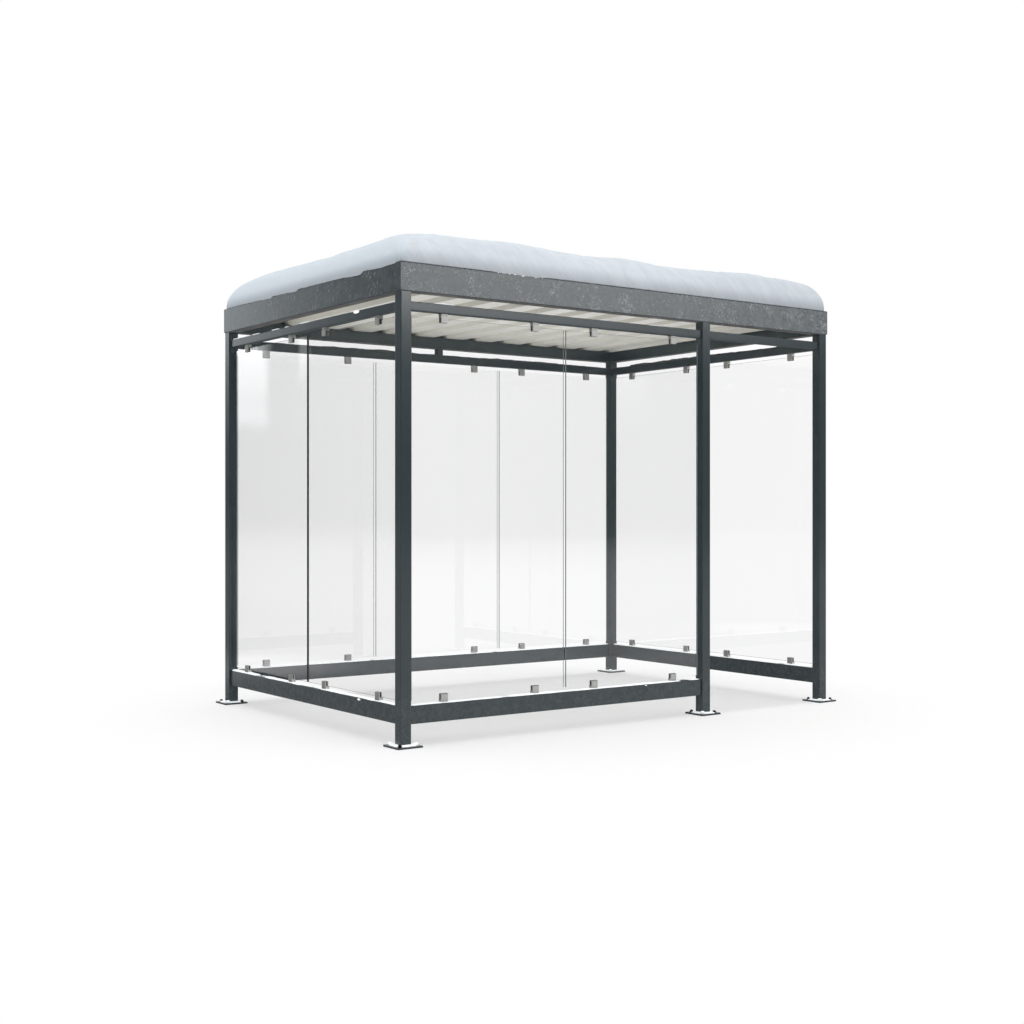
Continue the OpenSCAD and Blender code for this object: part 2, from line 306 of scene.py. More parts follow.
def sheet_steel():
    """Cream coil-coated sheet with drip lines along its ribs and dust, darker towards the front, and with
    painted shade in the ribs' hollows and on their sloping sides, most of all at the front."""
    s = material("cream_sheet")
    axes = s.axes()
    drips = s.noise(26, 4, 0.6, at=s.scaled((1, 0.06, 1)))
    dust = s.noise(9, 5, 0.6, 0.5)
    base = s.mix(s.span(drips, 0.35, 0.7), srgb(247, 245, 237), srgb(238, 235, 226))
    base = s.mix(s.span(dust, 0.5, 0.75, 0, 0.3), base, srgb(208, 204, 193))
    # painted shade: darker up in the ribs' hollows and on their sloping sides, deepest towards the front
    hollow_shade = s.fade(axes["Z"], *HOLLOW_SHADE, 0.0, 0.45)
    slope = s.span(s.magnitude(s.turned()["X"]), 0.3, 0.6, 0.0, 0.5)
    front = s.fade(axes["Y"], *FRONT_DARKENING, 0.15, 0.5)
    base = s.mix(front, base, srgb(206, 202, 192))
    base = s.mix(s.times(s.most(hollow_shade, slope), front), base, srgb(146, 142, 131))
    normal = s.bump(s.noise(300, 2), 0.08, 0.3 * MM)
    rough = s.plus(s.span(dust, 0.3, 0.7, 0.28, 0.34), slope)
    return s.finished(s.principled(base, rough, normal))


def pane_glass(name, facing, edge_low, edge_high, level_edge=None):
    """Clear toughened glass whose faces look along the axis facing, with dull ground edges in the colours
    given; the side panes' near black edges are painted shade.

    Its level edges have their own colour, or without one are clear and lost against the snow."""
    s = material(name)
    turned = s.turned()
    smear = s.noise(5, 5, 0.65, 0.6, s.scaled((1, 1, 0.35)))
    tint = s.mix(s.span(smear, 0.35, 0.75), (0.995, 0.995, 0.996), (0.987, 0.988, 0.99))
    wave = s.bump(s.noise(2.2, 2), 0.02, 2 * MM)
    clear = s.principled(tint, 0.0, wave, IOR=1.5, Transmission_Weight=1.0)
    ground = s.noise(400, 3)
    pitted = s.bump(ground, 0.1, 0.2 * MM)
    edge = s.principled(s.mix(ground, edge_low, edge_high), 0.35, pitted)
    level = s.magnitude(turned["Z"])
    if level_edge:
        edge = s.blend(s.span(level, 0.6, 0.9), edge, s.principled(level_edge, 0.3))
    else:
        edge = s.blend(s.span(level, 0.3, 0.6), edge, s.see_through((0.96, 0.975, 0.97)))
    body = s.blend(s.span(s.magnitude(turned[facing]), 0.75, 0.85), edge, clear)
    # scattered light and shadows go straight through
    path = s.node("LightPath").outputs
    through = s.see_through((0.93, 0.94, 0.94))
    body = s.blend(path["Is Diffuse Ray"], body, through)
    return s.finished(s.blend(path["Is Shadow Ray"], body, through))


def satin_steel(name, colour, roughness):
    """Bead-blasted stainless steel with fine brushing, dull finger marks and bright rubbed edges."""
    s = material(name)
    brush = s.noise(900, 3, 0.6, at=s.scaled((1, 1, 0.05)))
    marks = s.noise(55, 4, 0.65, 0.5)
    base = s.mix(s.span(marks, 0.35, 0.7), tinted(colour, 0.88), tinted(colour, 1.1))
    round_normal, edge = s.edges(1.2 * MM)
    base = s.mix(s.times(edge, 0.5), base, tinted(colour, 1.3))
    marked = s.span(marks, 0.3, 0.7, roughness - 0.06, roughness + 0.10)
    rough = s.plus(marked, s.times(brush, 0.05))
    normal = s.bump(brush, 0.12, 0.12 * MM, round_normal)
    return s.finished(s.principled(base, rough, normal, Metallic=1.0))


def rubber():
    s = material("gasket_rubber")
    bloom = s.noise(120, 4, 0.7)
    base = s.mix(s.span(bloom, 0.4, 0.75), srgb(24, 24, 25), srgb(48, 48, 49))
    normal = s.bump(s.noise(1500, 2), 0.25, 0.1 * MM)
    return s.finished(s.principled(base, 0.72, normal))


def dark_fastener():
    """Blackened bolts with a thin bloom of rust and frost in patches."""
    s = material("bolt_black")
    patch = s.noise(160, 4, 0.7, 0.6)
    base = s.mix(s.span(patch, 0.45, 0.7), srgb(26, 27, 28), srgb(50, 48, 46))
    round_normal, edge = s.edges(0.8 * MM)
    base = s.mix(s.times(edge, 0.25), base, srgb(128, 128, 126))
    normal = s.bump(s.noise(900, 2), 0.2, 0.1 * MM, round_normal)
    rough = s.span(patch, 0.3, 0.7, 0.35, 0.6)
    return s.finished(s.principled(base, rough, normal, Metallic=0.7))


# The roof's snow has painted shade at its foot up to the first height, and on its left side up to the
# second
FOOT_SHADE_TOP = SNOW_FOOT + 95 * MM
LEFT_SHADE_TOP = SNOW_FOOT + 70 * MM
# The colour of that painted shade, and of a painted bluish light on the snow's left side
PAINTED_SHADE = (0.0, 0.0, 0.02)
PAINTED_LEFT_LIGHT = (0.82, 0.915, 1.0)
# How far its packed streaks lean, in radians
STREAK_LEAN = 0.62


def roof_snow_shade(s, base, light):
    """The plain colour of the roof's snow with its streaks, painted shade at its foot and towards the
    right, and a painted bluish light and painted shade on its left side.
    """
    axes = s.axes()
    lean = {"Vector": s.where, "Angle": STREAK_LEAN}
    aslant = s.node("VectorRotate", lean, rotation_type="Y_AXIS").outputs[0]
    streaks = s.noise(22, 4, 0.6, 0.6, s.scaled((1, 1, 0.16), aslant))
    base = s.mix(s.span(streaks, 0.38, 0.66, 0.0, 0.17), base, tinted(light, 0.55))
    # painted shade: darker at the snow's foot and towards the right
    foot = s.fade(axes["Z"], SNOW_FOOT, FOOT_SHADE_TOP, 0.31, 0.0)
    right = s.span(axes["X"], -0.3, 1.2, 0.0, 0.07)
    base = s.mix(s.plus(foot, right), base, PAINTED_SHADE)
    # painted bluish light on faces turned to the left
    leftward = s.span(s.turned("Normal")["X"], -0.1, -0.7)
    base = s.mix(s.times(leftward, 0.65), base, PAINTED_LEFT_LIGHT)
    # painted shade low on the left side
    shaded = s.fade(axes["Z"], SNOW_FOOT, LEFT_SHADE_TOP, 0.27, 0.0)
    return s.mix(s.times(leftward, shaded), base, PAINTED_SHADE)


def settled_snow(name, light, lumps, on_roof=False, glow=0.0):
    """Packed snow: faint blue-white, with soft lumps and crisp grains."""
    s = material(name)
    drift = s.noise(3.2, 4, 0.55, 0.5)
    grain = s.noise(420, 3, 0.7)
    base = s.mix(s.span(drift, 0.35, 0.7), tinted(light, 0.97), tinted(light, 1.02))
    base = s.mix(s.span(grain, 0.35, 0.75, 0, 0.30), base, tinted(light, 0.93))
    soft = s.bump(s.noise(34, 4, 0.6), lumps, 8 * MM)
    if on_roof:
        base = roof_snow_shade(s, base, light)
        soft = s.bump(s.noise(10, 3, 0.6, 0.4), 0.35, 16 * MM, soft)
    rough = s.span(grain, 0.3, 0.7, 0.5, 0.8)
    normal = s.bump(grain, 0.35, 0.9 * MM, soft)
    depth = {"Subsurface_Weight": 0.12, "Subsurface_Radius": (0.04, 0.06, 0.09), "Subsurface_Scale": 0.25}
    # glow is painted light: the snow gives out its own colour as light
    face = {"Emission_Color": light, "Emission_Strength": glow, "Specular_IOR_Level": 0.2}
    return s.finished(s.principled(base, rough, normal, **depth, **face))


def painted_dark_snow():
    """Old snow on the rails at the back, painted dark grey as painted shade, and glazed."""
    s = material("painted_dark_snow")
    soot = s.noise(60, 4, 0.65, 0.6)
    base = s.mix(s.span(soot, 0.35, 0.72), srgb(46, 54, 57), srgb(82, 90, 94))
    normal = s.bump(s.noise(240, 3, 0.6), 0.3, 0.6 * MM)
    return s.finished(s.principled(base, s.span(soot, 0.3, 0.7, 0.25, 0.5), normal))


# The roof snow's blue-grey colour is partly painted light: a bluish ambient light painted into its colour
SNOW = settled_snow("snow_blanket", (0.81, 0.87, 0.93), 0.30, on_roof=True)
# The thin snow glows with painted light, so that it stays white in shade
THIN_SNOW = settled_snow("snow_thin", (0.95, 0.975, 1.0), 0.2, glow=0.44)
SHADE_DARK_DRIFT_FINISH = painted_dark_snow()
BOLT = dark_fastener()
SCREW = satin_steel("satin_screw", srgb(150, 150, 148), 0.35)
# The finish of the CAD nodes whose names start so
FINISHES = {
    ("post", "base_plate", "bottom_rail", "top_rail", "roof_spacer"): coated_steel(
        "anthracite_coat", FRAME_COLOUR
    ),
    "roof_beam": coated_steel("dusty_coat", FRAME_COLOUR, dusty_foot=True),
    "fascia": coated_steel("frosted_coat", FASCIA_COLOUR, on_fascia=True),
    "roof_sheet": sheet_steel(),
    "roof_snow": SNOW,
    "clamps": satin_steel("satin_clamp", srgb(204, 204, 201), 0.42),
    "glass_gaskets": rubber(),
    ("glass_front", "glass_back"): pane_glass(
        "glass_front_back", "Y", srgb(120, 128, 127), srgb(146, 154, 152)
    ),
    # The side panes' upright edges are painted near black: painted shade
    ("glass_left", "glass_right"): pane_glass(
        "glass_sides", "X", srgb(20, 26, 26), srgb(34, 42, 41), srgb(120, 128, 127)
    ),
}

for name, node in nodes.items():
    finish = next(made for starts, made in FINISHES.items() if name.startswith(starts))
    if not node.material_slots:
        node.data.materials.append(None)
    for slot in node.material_slots:
        slot.material = finish


# ------ meshes


def ease(value, low=0.0, high=1.0):
    """Smooth step from 0 at low to 1 at high."""
    t = min(1.0, max(0.0, (value - low) / (high - low)))
    return t * t * (3 - 2 * t)


def ripple(x, y, z=0.0, size=1.0, octaves=3):
    """Fractal noise about 0, with its largest waves about size metres long."""
    total, weight, p = 0.0, 1.0, Vector((x, y, z)) / size
    for _ in range(octaves):
        total += weight * noise.noise(p)
        p, weight = p * 2.03 + Vector((3.1, 1.7, 5.3)), weight * 0.5
    return total


def held(value, limit):
    """The value, brought to within the limit either side of 0."""
    return copysign(min(abs(value), limit), value)


def rightwards(out):
    """The level direction to the right along a face, as seen from the side that it faces."""
    return Vector((-out.y, out.x, 0))


def outwards(node):
    """The level direction in which a node that runs along a wall faces out."""
    low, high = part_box(node)
    across = 1 if high.x - low.x > high.y - low.y else 0
    out = Vector((0, 0, 0))
    out[across] = copysign(1, low[across] + high[across])
    return out


def face_at(node):
    """Where the outer face of such a node is, as a vector square to the wall."""
    out, (low, high) = outwards(node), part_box(node)
    end = high if out.x + out.y > 0 else low
    return Vector((abs(out.x) * end.x, abs(out.y) * end.y, 0))


def placed(name, data):
    """A new object in the scene."""
    made = bpy.data.objects.new(name, data)
    scene.collection.objects.link(made)
    return made


class Body:
    """Points and faces on their way to becoming a mesh."""

    def __init__(self):
        self.points, self.faces = [], []

    def loft(self, rows, turned=False):
        """Adds rows of points, each a closed ring, with quads between them."""
        first, count = len(self.points), len(rows[0])
        for row in rows:
            self.points.extend(row)
        for low in range(first, first + (len(rows) - 1) * count, count):
            for a in range(low, low + count):
                b = a + 1 if a + 1 < low + count else low
                self.faces.append((b, a, a + count, b + count) if turned else (a, b, b + count, a + count))
        return first

    def cap(self, first, count, turned=False):
        """Closes a ring of points with one face."""
        ring = tuple(range(first, first + count))
        self.faces.append(ring[::-1] if turned else ring)

    def solid(self, rows):
        """Adds a loft that is closed at both ends."""
        first, count = self.loft(rows), len(rows[0])
        self.cap(first, count, turned=True)
        self.cap(len(self.points) - count, count)

    def made(self, name, finish, smooth=False):
        mesh = bpy.data.meshes.new(name)
        mesh.from_pydata([tuple(p) for p in self.points], [], self.faces)
        mesh.materials.append(finish)
        for polygon in mesh.polygons:
            polygon.use_smooth = smooth
        mesh.update()
        return placed(name, mesh)

    def piece(self, name, finish, slot, smooth=True):
        made = self.made(name, finish, smooth)
        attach(made, "root")
        return made


# ------ the roof's snow

SNOW_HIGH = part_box("roof_snow")[1]
HALF_X, HALF_Y = SNOW_HIGH.x, SNOW_HIGH.y
# Its top is a grid, fine near the rim and coarse inside
FINE_STEP = 5.5 * MM
COARSE_STEP = 18 * MM
FINE_MARGIN = 0.22
# How far in from the rim its foot leaves the fascia, and how far further it meets the sheet
LIP_REACH = 39 * MM
TRAY_SLOPE = 12 * MM
# The radius of its corners at the rim, and how fast it grows inwards
CORNER_ROUND = 35 * MM
CORNER_GROWTH = 1.0
# Its shoulder rises over this width from a rim of this height to the crest
SHOULDER = 150 * MM
EDGE_HEIGHT = 16 * MM
CREST = SNOW_HIGH.z - 13 * MM
# The shoulder is narrower at the right end and wider at the back left corner
RIGHT_NARROWER = 34 * MM
BACK_LEFT_WIDER = 40 * MM
# Swells on its top, as centre and size in metres and height in mm
SWELLS = (
    (-1.40, -1.00, 0.25, 6), (-0.88, -0.85, 0.38, 14), (-0.33, -0.90, 0.20, -9), (0.03, -0.85, 0.24, 14),
    (0.45, -0.90, 0.22, -3), (1.08, -0.85, 0.34, 15), (-1.35, 0.70, 0.42, 13), (-1.35, -0.22, 0.26, -15),
    (0.30, 0.60, 0.50, 6),
)
# Where the front shoulder is fuller: place, reach, and how much narrower it is
FULLER = ((-0.85, 0.30, 40 * MM), (0.03, 0.22, 35 * MM), (1.02, 0.42, 78 * MM))
# How far the rim lies back from the face of each fascia, and over what width that fades inwards
RIM_INSET = {"front": 4 * MM, "left": 3 * MM, "right": 5 * MM, "back": 6 * MM}
INSET_FADE = 0.25
# Where the blanket sags over the outer face of a fascia: place along it and drop in mm, in order
SAGS = {
    "front": ((-1.55, 0), (-1.10, 1), (-1.02, 4), (-0.86, 6), (-0.70, 3), (-0.64, 0), (0.3, 1), (1.5, 0)),
    "left": (
        (-1.13, 5), (-1.05, 7), (-0.923, 11), (-0.83, 7), (-0.728, 3), (-0.70, 20), (-0.60, 17),
        (-0.49, 9), (-0.30, 6), (0.06, 3), (0.085, 14), (0.20, 8), (0.405, 3), (0.43, 13),
        (0.60, 6), (0.957, 0), (1.10, 0),
    ),
    "right": ((-1.1, 0), (-0.62, 3), (-0.55, 12), (-0.40, 5), (0.15, 4), (0.22, 15), (0.45, 8), (0.9, 0)),
    "back": (
        (-1.5, 0), (-1.2, 4), (-1.13, 13), (-0.9, 5), (-0.2, 9), (0.1, 3), (0.7, 14), (0.95, 4),
        (1.5, 0),
    ),
}


def grid_lines(half):
    """Lines from -half to half, fine near both ends and coarse between."""
    edge_steps = round(FINE_MARGIN / FINE_STEP)
    inner = 2 * (half - FINE_MARGIN)
    middle_steps = round(inner / COARSE_STEP)
    lines = [-half + i * FINE_MARGIN / edge_steps for i in range(edge_steps)]
    lines += [FINE_MARGIN - half + i * inner / middle_steps for i in range(middle_steps + 1)]
    return lines + [half - FINE_MARGIN + (i + 1) * FINE_MARGIN / edge_steps for i in range(edge_steps)]


def to_sides(x, y):
    """How far a point lies in from the nearer short side and the nearer long side."""
    return HALF_X - abs(x), HALF_Y - abs(y)


def along_rim(x, y):
    """The coordinate that runs along the nearest side, and 1 for a short side or -1 for a long one."""
    a, b = to_sides(x, y)
    return (y, 1) if a < b else (x, -1)


def rounded(x, y):
    """Plan position of a grid point, with the corners rounded."""
    ax, ay = (1 - side / CORNER_ROUND for side in to_sides(x, y))
    if ax <= 0 or ay <= 0:
        return x, y
    shrink = max(ax, ay) / hypot(ax, ay)
    return (
        copysign(HALF_X - CORNER_ROUND * (1 - ax * shrink), x),
        copysign(HALF_Y - CORNER_ROUND * (1 - ay * shrink), y),
    )


def drawn_in(x, y):
    """A rounded position moved back with the rim."""
    a, b = to_sides(x, y)
    back_x = RIM_INSET["right" if x > 0 else "left"] * (1 - ease(a, 0, INSET_FADE))
    back_y = RIM_INSET["back" if y > 0 else "front"] * (1 - ease(b, 0, INSET_FADE))
    return x - copysign(back_x, x), y - copysign(back_y, y)


def inset(x, y):
    """Distance from the rounded rim; the corners' radius grows inwards."""
    a, b = to_sides(x, y)
    grow = 1 + CORNER_GROWTH
    square = 2 * grow**2 - CORNER_GROWTH**2
    linear = 4 * CORNER_ROUND * grow - 2 * (a + b) * grow - 2 * CORNER_ROUND * CORNER_GROWTH
    rest = CORNER_ROUND**2 - 2 * (a + b) * CORNER_ROUND + a * a + b * b
    depth = (sqrt(max(0.0, linear**2 - 4 * square * rest)) - linear) / (2 * square)
    return max(0.0, depth if max(a, b) < CORNER_ROUND + grow * depth else min(a, b))


def groove(x, y, depth):
    """Thin creases that run down the shoulders aslant, as settled snow has: 0 to 1."""
    along, lean = along_rim(x, y)
    u = along + lean * 0.9 * depth
    crowd = ease(ripple(u, 2.0, 5.0, 0.45, 2), -0.15, 0.35)
    fine = 1 - min(1.0, abs(ripple(u, 0.25 * depth * 1.5, 8.0, 0.085, 2)) / 0.16)
    return fine * fine * crowd * ease(depth, 0.02, 0.06) * (1 - ease(depth, 0.13, 0.24))


def shoulder_width(x, y):
    width = SHOULDER * (1 + 0.12 * ripple(x, y, 1.0, 0.7, 2)) - RIGHT_NARROWER * ease(x, 1.1, 1.6)
    fuller = sum(less * exp(-(((x - at) / reach) ** 2)) for at, reach, less in FULLER)
    width -= fuller * ease(-y, 0.6, 0.9)
    return width + BACK_LEFT_WIDER * ease(-x, 1.2, 1.6) * ease(y, 0.7, 1.1)


def snow_height(x, y):
    """The height of the blanket's top: a rim, a round shoulder, and swells, waves and creases."""
    depth = inset(x, y)
    width = shoulder_width(x, y)
    rise = 1.0 if depth >= width else sqrt(max(0.0, 1 - (1 - depth / width) ** 2))
    swell = 0.0
    for cx, cy, size, high in SWELLS:
        swell += high * MM * exp(-((x - cx) ** 2 + (y - cy) ** 2) / size**2)
    near_edge = 1 - ease(depth, 0.05, 0.30)
    along, _ = along_rim(x, y)
    crease = ripple(along + 0.7 * depth, 0.35 * depth, 4.0, 0.14, 2) * near_edge
    body = swell + 4 * MM * ripple(x, y, 0, 0.55) + 4 * MM * crease - 5 * MM * groove(x, y, depth)
    rim = EDGE_HEIGHT * (1 + 0.5 * ripple(along, 7.0, 2.0, 0.25, 2))
    top = SNOW_FOOT + rim + (CREST - SNOW_FOOT - rim) * rise + body * min(1.0, rise * 1.4)
    top += 1.0 * MM * ripple(x, y, 9.0, 0.05, 2) * rise
    return min(top, SNOW_HIGH.z - 0.2 * MM)


def sag(side, along):
    """How far the blanket hangs down the fascia on this side, at this place along it."""
    marks = SAGS[side]
    drop = 0.0
    for (a, low), (b, high) in zip(marks, marks[1:]):
        if a <= along <= b:
            drop = (low + (high - low) * (along - a) / (b - a)) * MM
    if drop == 0.0:
        return 0.0
    return max(0.0, drop + 1.6 * MM * ripple(along, 5.0, ord(side[0]), 0.06, 3))


def rim_section(x, y, side, rim_z):
    """The blanket's edge in plan at one place on its rim, and the points under it: down its side,
    back under the sag to the fascia's top, and in along that and down onto the sheet."""
    flat = Vector(rounded(x, y))
    if side in ("left", "right"):
        along, out, to_corner = y, Vector((x, 0)), HALF_Y - abs(y)
    else:
        along, out, to_corner = x, Vector((0, y)), HALF_X - abs(x)
    if to_corner < CORNER_ROUND:
        out = flat - Vector((held(x, HALF_X - CORNER_ROUND), held(y, HALF_Y - CORNER_ROUND)))
    out.normalize()
    here = Vector(drawn_in(*flat))
    drop = sag(side, along) * ease(to_corner, CORNER_ROUND, CORNER_ROUND * 1.6)
    # a sag reaches past the face of the fascia and hangs down it
    hang = ease(drop, 0.5 * MM, 3 * MM)
    edge = here + out * ((RIM_INSET[side] + 0.8 * MM + 0.30 * drop) * hang)
    under = SNOW_FOOT + REST_GAP
    low = under - drop * hang
    inner = here + out * ((RIM_INSET[side] + REST_GAP) * hang - 2 * MM * (1 - hang))
    foot_reach = LIP_REACH + TRAY_SLOPE
    return edge, (
        (*(edge + out * 0.2 * MM), low + (rim_z - low) * 0.55),
        (*(edge - out * 0.3 * MM), low + (rim_z - low) * 0.15),
        (*(inner + (edge - inner) * 0.6), low),
        (*inner, low + 0.1 * MM),
        (*(inner - out * 0.1 * MM), under),
        (held(x, HALF_X - LIP_REACH), held(y, HALF_Y - LIP_REACH), under),
        (held(x, HALF_X - foot_reach), held(y, HALF_Y - foot_reach), SHEET_TOP + REST_GAP),
    )


def snow_blanket():
    xs, ys = grid_lines(HALF_X), grid_lines(HALF_Y)
    nx, ny = len(xs), len(ys)
    body = Body()
    points, faces = body.points, body.faces
    for y in ys:
        for x in xs:
            flat = rounded(x, y)
            points.append([*drawn_in(*flat), snow_height(*flat)])
    for j in range(ny - 1):
        for a in range(j * nx, j * nx + nx - 1):
            faces.append((a, a + 1, a + nx + 1, a + nx))

    rim = [(i, 0) for i in range(nx - 1)]
    rim += [(nx - 1, j) for j in range(ny - 1)]
    rim += [(i, ny - 1) for i in range(nx - 1, 0, -1)]
    rim += [(0, j) for j in range(ny - 1, 0, -1)]
    sections = []
    for i, j in rim:
        if i in (0, nx - 1):
            side = "left" if i == 0 else "right"
        else:
            side = "front" if j == 0 else "back"
        top = points[j * nx + i]
        (top[0], top[1]), section = rim_section(xs[i], ys[j], side, top[2])
        sections.append(section)
    first, count = len(points), len(rim)
    top_ring = [j * nx + i for i, j in rim]
    for k in range(count):
        n = (k + 1) % count
        faces.append((top_ring[n], top_ring[k], first + k, first + n))
    body.loft(list(zip(*sections)), turned=True)
    body.cap(len(points) - count, count, turned=True)
    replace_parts(body.piece("snow_roof", SNOW, "snow"), "roof_snow")


snow_blanket()


# ------ thin snow on rails and plates

# A drift's sections stand about this far apart, its round top has this many points, and it tapers
# over this length at both ends
DRIFT_STEP = 8 * MM
DRIFT_ARCH = 6
DRIFT_TAPER = 0.025
# Drifts on each rail: the ends along X or Y in metres, and in mm the thickness and how far it hangs
# over the outer face or, below 0, stops short of it
DRIFTS = {
    "bottom_rail_front": (
        (-1.587, -0.972, 5, 1), (-0.978, -0.922, 3, -12), (-0.930, 0.368, 6, 1), (0.445, 0.525, 6, 1),
    ),
    "bottom_rail_left": (
        (-1.055, -0.170, 6, 2), (-0.180, 0.085, 4, -14), (0.060, 0.570, 6, 2), (0.580, 0.665, 2, -24),
        (0.675, 1.055, 8, 2),
    ),
    "bottom_rail_back": ((-1.580, -0.560, 8, 2), (-0.540, 0.480, 7, 2), (0.500, 1.580, 8, 2)),
    "bottom_rail_right": ((-1.050, -0.780, 9, 2), (-0.720, 0.080, 7, 2), (0.120, 1.050, 8, 3)),
    "top_rail_front": ((-1.440, -1.290, 5, 0), (0.10, 0.22, 3, 0)),
    "top_rail_left": (
        (0.930, 1.045, 6, 0), (0.635, 0.755, 6, 0), (0.360, 0.475, 5, 0), (0.225, 0.295, 5, 0),
        (-0.045, 0.090, 7, 0), (-0.655, -0.535, 4, 0),
    ),
}
# The drifts whose snow is painted dark grey, as painted shade
SHADE_DARK_DRIFTS = {
    "bottom_rail_front": ((0.376, 0.437, 5, 1),),
    "top_rail_back": (
        (-1.560, -0.900, 7, 0), (-0.960, -0.250, 12, 0), (-0.300, 0.420, 9, 0), (0.380, 1.100, 13, 0),
        (1.060, 1.580, 8, 0),
    ),
    "top_rail_right": (
        (0.830, 1.050, 6, 0), (0.640, 0.860, 14, 0), (0.330, 0.660, 12, 0), (0.180, 0.400, 15, 0),
        (-0.300, 0.200, 12, 0), (-0.750, -0.250, 7, 0), (-1.050, -0.700, 12, 0),
    ),
}


def drift_section(along, fade, half, thick, reach, seed):
    """One section through a drift, as places outwards from the rail's middle line and heights
    over its top. fade is 0 at the drift's ends and 1 past its tapers."""
    lump = 1 + 0.45 * ripple(along, seed, 0, 0.16, 3)
    h = max(0.5 * MM, thick * lump * (0.25 + 0.75 * fade))
    hang = max(0.0, reach * ripple(along, seed, 3.0, 0.13, 2) * 2) * fade
    outer = half + min(0.0, reach) - (1 - fade) * 0.4 * half + 0.6 * hang
    outer -= 1.5 * MM * max(0.0, ripple(along, seed, 6.0, 0.09, 2)) * (hang == 0)
    back = half * (0.6 + 0.4 * fade) - 5 * MM * max(0.0, ripple(along, seed, 9.0, 0.15, 2))
    low = REST_GAP
    ring = [(outer, low - hang), (outer + 0.4 * MM, low + 0.35 * h)]
    for step in range(1, DRIFT_ARCH + 1):
        angle = pi * step / (DRIFT_ARCH + 1)
        across = (outer + back) / 2 * cos(angle) + (outer - back) / 2
        rough = 1 + 0.2 * ripple(along * 3, across * 30, seed, 0.10, 2)
        ring.append((across, low + h * rough * sin(angle) ** 0.45))
    lip = min(outer - 0.3 * MM, half + REST_GAP)
    return ring + [(-back, low + 0.3 * h), (-back, low), (lip, low), (lip, low - hang * 0.9)]


def strip(body, start, end, out, half, thick, reach, seed):
    """Adds one drift of thin snow along a rail's top.

    start and end lie on the middle line of the rail's top, out points outwards, half is how far the
    rail's faces lie from that line, and reach is how far the drift hangs over the outer face."""
    axis = end - start
    length = axis.length
    axis.normalize()
    stations = max(6, round(length / DRIFT_STEP))
    rows = []
    for k in range(stations + 1):
        s = k / stations
        at = start + axis * (s * length)
        fade = min(ease(s * length, 0, DRIFT_TAPER), ease((1 - s) * length, 0, DRIFT_TAPER))
        ring = drift_section(at.x + at.y, fade, half, thick, reach, seed)
        rows.append([at + out * across + Vector((0, 0, z)) for across, z in ring])
    body.solid(rows)


def rail_snow(prefix, rail, drifts, finish):
    low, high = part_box(rail)
    middle, out, body = (low + high) / 2, outwards(rail), Body()
    run, across = (0, 1) if out.y else (1, 0)
    half = (high - low)[across] / 2
    for index, (start, end, thick, reach) in enumerate(drifts):
        ends = [Vector((middle.x, middle.y, high.z)) for _ in range(2)]
        ends[0][run], ends[1][run] = start, end
        # the loft closes outwards only if it runs to the right as seen from outside
        if (ends[1] - ends[0]).dot(rightwards(out)) < 0:
            ends.reverse()
        seed = 11.0 * index + low.z
        strip(body, *ends, out, half, thick * MM, reach * MM, seed)
    body.piece(f"{prefix}_{rail}", finish, "snow")


for rail, drifts in DRIFTS.items():
    rail_snow("snow", rail, drifts, THIN_SNOW)
# snow painted dark as painted shade
for rail, drifts in SHADE_DARK_DRIFTS.items():
    rail_snow("ice", rail, drifts, SHADE_DARK_DRIFT_FINISH)


PLATES = sorted(name for name in nodes if name.startswith("base_plate"))
# The anchors on a base plate, as signs of X and Y, and their distance from its middle along each
NUT_SPOTS = ((-1, -1), (1, -1), (1, 1), (-1, 1))
ANCHOR_REACH = 50 * MM
# The nuts that stand clear of the snow on each base plate
BARE_NUTS = {
    "base_plate_front_left": ((-1, -1),),
    "base_plate_door": ((-1, 1), (1, -1)),
    "base_plate_front_right": ((-1, 1), (1, -1)),
    "base_plate_back_left": ((-1, 1), (1, -1)),
    "base_plate_back_right": (),
}
# Bare ring around a nut that stands alone, and around each of a pair, which has blown clearer
LONE_RING = 13 * MM
PAIR_RING = 17 * MM
# The crust's thickness, how far it stops short of the plate's edge, and its grid
CRUST = 5.5 * MM
CRUST_INSET = 8 * MM
CRUST_STEP = 2.6 * MM
# The mound over a covered nut: its radius and its height
MOUND = 19 * MM
MOUND_HEIGHT = 17 * MM


def crust_height(x, y, half, cx, cy, bare_nuts, seed):
    """The crust's thickness at a place on the plate about cx, cy, given from there; 0 where bare."""
    there = (x + cx, y + cy)
    farthest = max(abs(x), abs(y))
    short = CRUST_INSET + 5 * MM * ripple(*there, seed, 0.07, 3)
    edge = half - (farthest + 16 * MM * ease(abs(x) + abs(y), 0.09, 0.15)) - short
    if min(edge, farthest - POST_SIDE / 2 - 0.6 * MM) <= 0:
        return 0.0
    body = (CRUST + 1.5 * MM * ripple(*there, seed + 4, 0.05, 2)) * ease(edge, -2 * MM, 6 * MM)
    bare = LONE_RING if len(bare_nuts) == 1 else PAIR_RING
    for nut in NUT_SPOTS:
        away = hypot(x - nut[0] * ANCHOR_REACH, y - nut[1] * ANCHOR_REACH)
        if nut in bare_nuts:
            if away < bare:
                return 0.0
            body *= ease(away, bare - 2 * MM, bare + 6 * MM)
        elif away < MOUND:
            mound = MOUND_HEIGHT * (1 - (away / MOUND) ** 2) ** 0.5
            body = max(body, mound * (1 + 0.06 * ripple(x, y, seed, 0.02, 2)))
    return body


